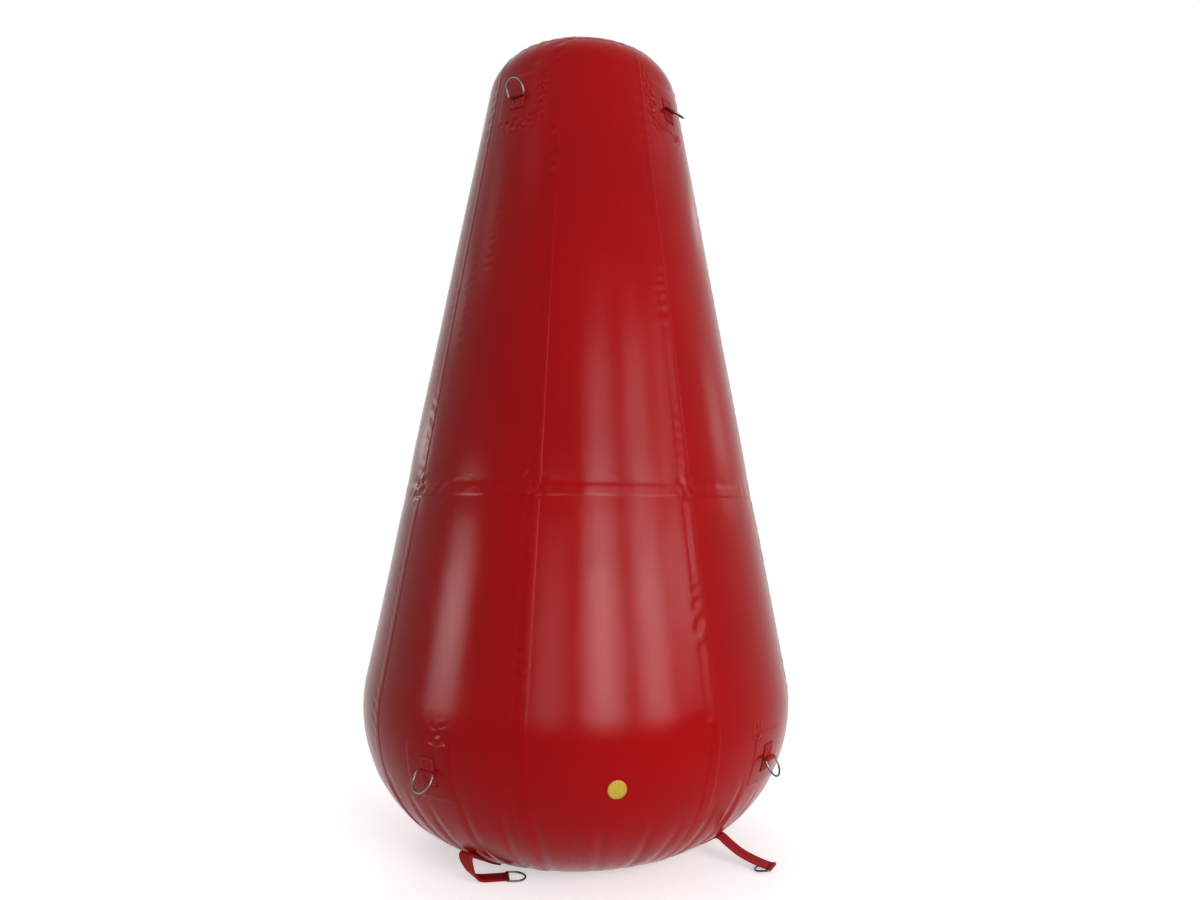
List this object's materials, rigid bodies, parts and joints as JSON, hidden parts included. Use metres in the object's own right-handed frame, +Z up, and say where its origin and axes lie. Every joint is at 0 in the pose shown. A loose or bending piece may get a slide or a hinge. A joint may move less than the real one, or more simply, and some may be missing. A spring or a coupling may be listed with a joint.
{
  "type": "inflatable race marker buoy",
  "caption": "Tall inflatable cone marker buoy of welded red coated-fabric panels, with hinged D-rings near the top, round the base and on strap tabs, and a flush capped valve.",
  "frame": {"origin": "centre of the flat patch on the floor", "axes": "+Z up along the cone's axis, front towards -Y, +X to the right of the front"},
  "size_m": [1.1998, 1.1998, 2.3101],
  "materials": {
    "skin": "glossy coated fabric",
    "patch": "glossy coated fabric",
    "webbing": "woven webbing",
    "ring": "polished steel",
    "valve": "moulded plastic"
  },
  "bodies": {
    "envelope": {"base_panel": "skin", "crown_panel": "skin", "valve_base": "valve", "valve_cap": "valve", "lower_gore_1": "skin", "lower_gore_2": "skin", "lower_gore_3": "skin", "lower_gore_4": "skin", "lower_gore_5": "skin", "lower_gore_6": "skin", "lower_gore_7": "skin", "lower_gore_8": "skin", "upper_gore_1": "skin", "upper_gore_2": "skin", "upper_gore_3": "skin", "upper_gore_4": "skin", "upper_gore_5": "skin", "upper_gore_6": "skin", "upper_gore_7": "skin", "upper_gore_8": "skin", "upper_patch_1": "patch", "upper_patch_2": "patch", "upper_patch_3": "patch", "upper_patch_4": "patch", "lower_patch_1": "patch", "lower_patch_2": "patch", "lower_patch_3": "patch", "lower_patch_4": "patch", "upper_keeper_1": "webbing", "upper_keeper_2": "webbing", "upper_keeper_3": "webbing", "upper_keeper_4": "webbing", "lower_keeper_1": "webbing", "lower_keeper_2": "webbing", "lower_keeper_3": "webbing", "lower_keeper_4": "webbing", "strap_patch_1": "patch", "strap_patch_2": "patch", "strap_patch_3": "patch", "strap_patch_4": "patch", "strap_1": "webbing", "strap_2": "webbing", "strap_3": "webbing", "strap_4": "webbing"},
    "upper_ring_1": {"upper_ring_1": "ring"},
    "lower_ring_1": {"lower_ring_1": "ring"},
    "strap_ring_1": {"strap_ring_1": "ring"},
    "upper_ring_2": {"upper_ring_2": "ring"},
    "lower_ring_2": {"lower_ring_2": "ring"},
    "strap_ring_2": {"strap_ring_2": "ring"},
    "upper_ring_3": {"upper_ring_3": "ring"},
    "lower_ring_3": {"lower_ring_3": "ring"},
    "strap_ring_3": {"strap_ring_3": "ring"},
    "upper_ring_4": {"upper_ring_4": "ring"},
    "lower_ring_4": {"lower_ring_4": "ring"},
    "strap_ring_4": {"strap_ring_4": "ring"}
  },
  "joints": [
    {"name": "upper_ring_1_hinge", "type": "hinge", "parent": "envelope", "child": "upper_ring_1", "pos_m": [-0.18231, -0.25093, 2.05799], "axis": [-0.809, 0.5878, 0], "range_deg": [-139.6, 32.4]},
    {"name": "lower_ring_1_hinge", "type": "hinge", "parent": "envelope", "child": "lower_ring_1", "pos_m": [-0.35355, -0.48662, 0.30464], "axis": [-0.809, 0.5878, 0], "range_deg": [-36.3, 135.7]},
    {"name": "strap_ring_1_hinge", "type": "hinge", "parent": "envelope", "child": "strap_ring_1", "pos_m": [-0.16936, -0.32614, 0.0049], "axis": [-0.1564, 0.9877, 0], "range_deg": [-14, 147]},
    {"name": "upper_ring_2_hinge", "type": "hinge", "parent": "envelope", "child": "upper_ring_2", "pos_m": [0.25093, -0.18231, 2.05799], "axis": [-0.5878, -0.809, 0], "range_deg": [-35.6, 136.4]},
    {"name": "lower_ring_2_hinge", "type": "hinge", "parent": "envelope", "child": "lower_ring_2", "pos_m": [0.48662, -0.35355, 0.30464], "axis": [-0.5878, -0.809, 0], "range_deg": [-35.3, 136.7]},
    {"name": "strap_ring_2_hinge", "type": "hinge", "parent": "envelope", "child": "strap_ring_2", "pos_m": [0.50389, -0.29092, 0.01384], "axis": [-0.5, -0.866, 0], "range_deg": [-1, 306.5]},
    {"name": "upper_ring_3_hinge", "type": "hinge", "parent": "envelope", "child": "upper_ring_3", "pos_m": [0.18231, 0.25093, 2.05799], "axis": [0.809, -0.5878, 0], "range_deg": [-15.6, 156.4]},
    {"name": "lower_ring_3_hinge", "type": "hinge", "parent": "envelope", "child": "lower_ring_3", "pos_m": [0.35355, 0.48662, 0.30464], "axis": [0.809, -0.5878, 0], "range_deg": [-34.3, 137.7]},
    {"name": "strap_ring_3_hinge", "type": "hinge", "parent": "envelope", "child": "strap_ring_3", "pos_m": [0.342, 0.47072, 0.01384], "axis": [0.809, -0.5878, 0], "range_deg": [-1, 306.5]},
    {"name": "upper_ring_4_hinge", "type": "hinge", "parent": "envelope", "child": "upper_ring_4", "pos_m": [-0.25093, 0.18231, 2.05799], "axis": [0.5878, 0.809, 0], "range_deg": [-15.6, 156.4]},
    {"name": "lower_ring_4_hinge", "type": "hinge", "parent": "envelope", "child": "lower_ring_4", "pos_m": [-0.48662, 0.35355, 0.30464], "axis": [0.5878, 0.809, 0], "range_deg": [-34.3, 137.7]},
    {"name": "strap_ring_4_hinge", "type": "hinge", "parent": "envelope", "child": "strap_ring_4", "pos_m": [-0.47072, 0.342, 0.01384], "axis": [0.5878, 0.809, 0], "range_deg": [-1, 306.5]}
  ]
}
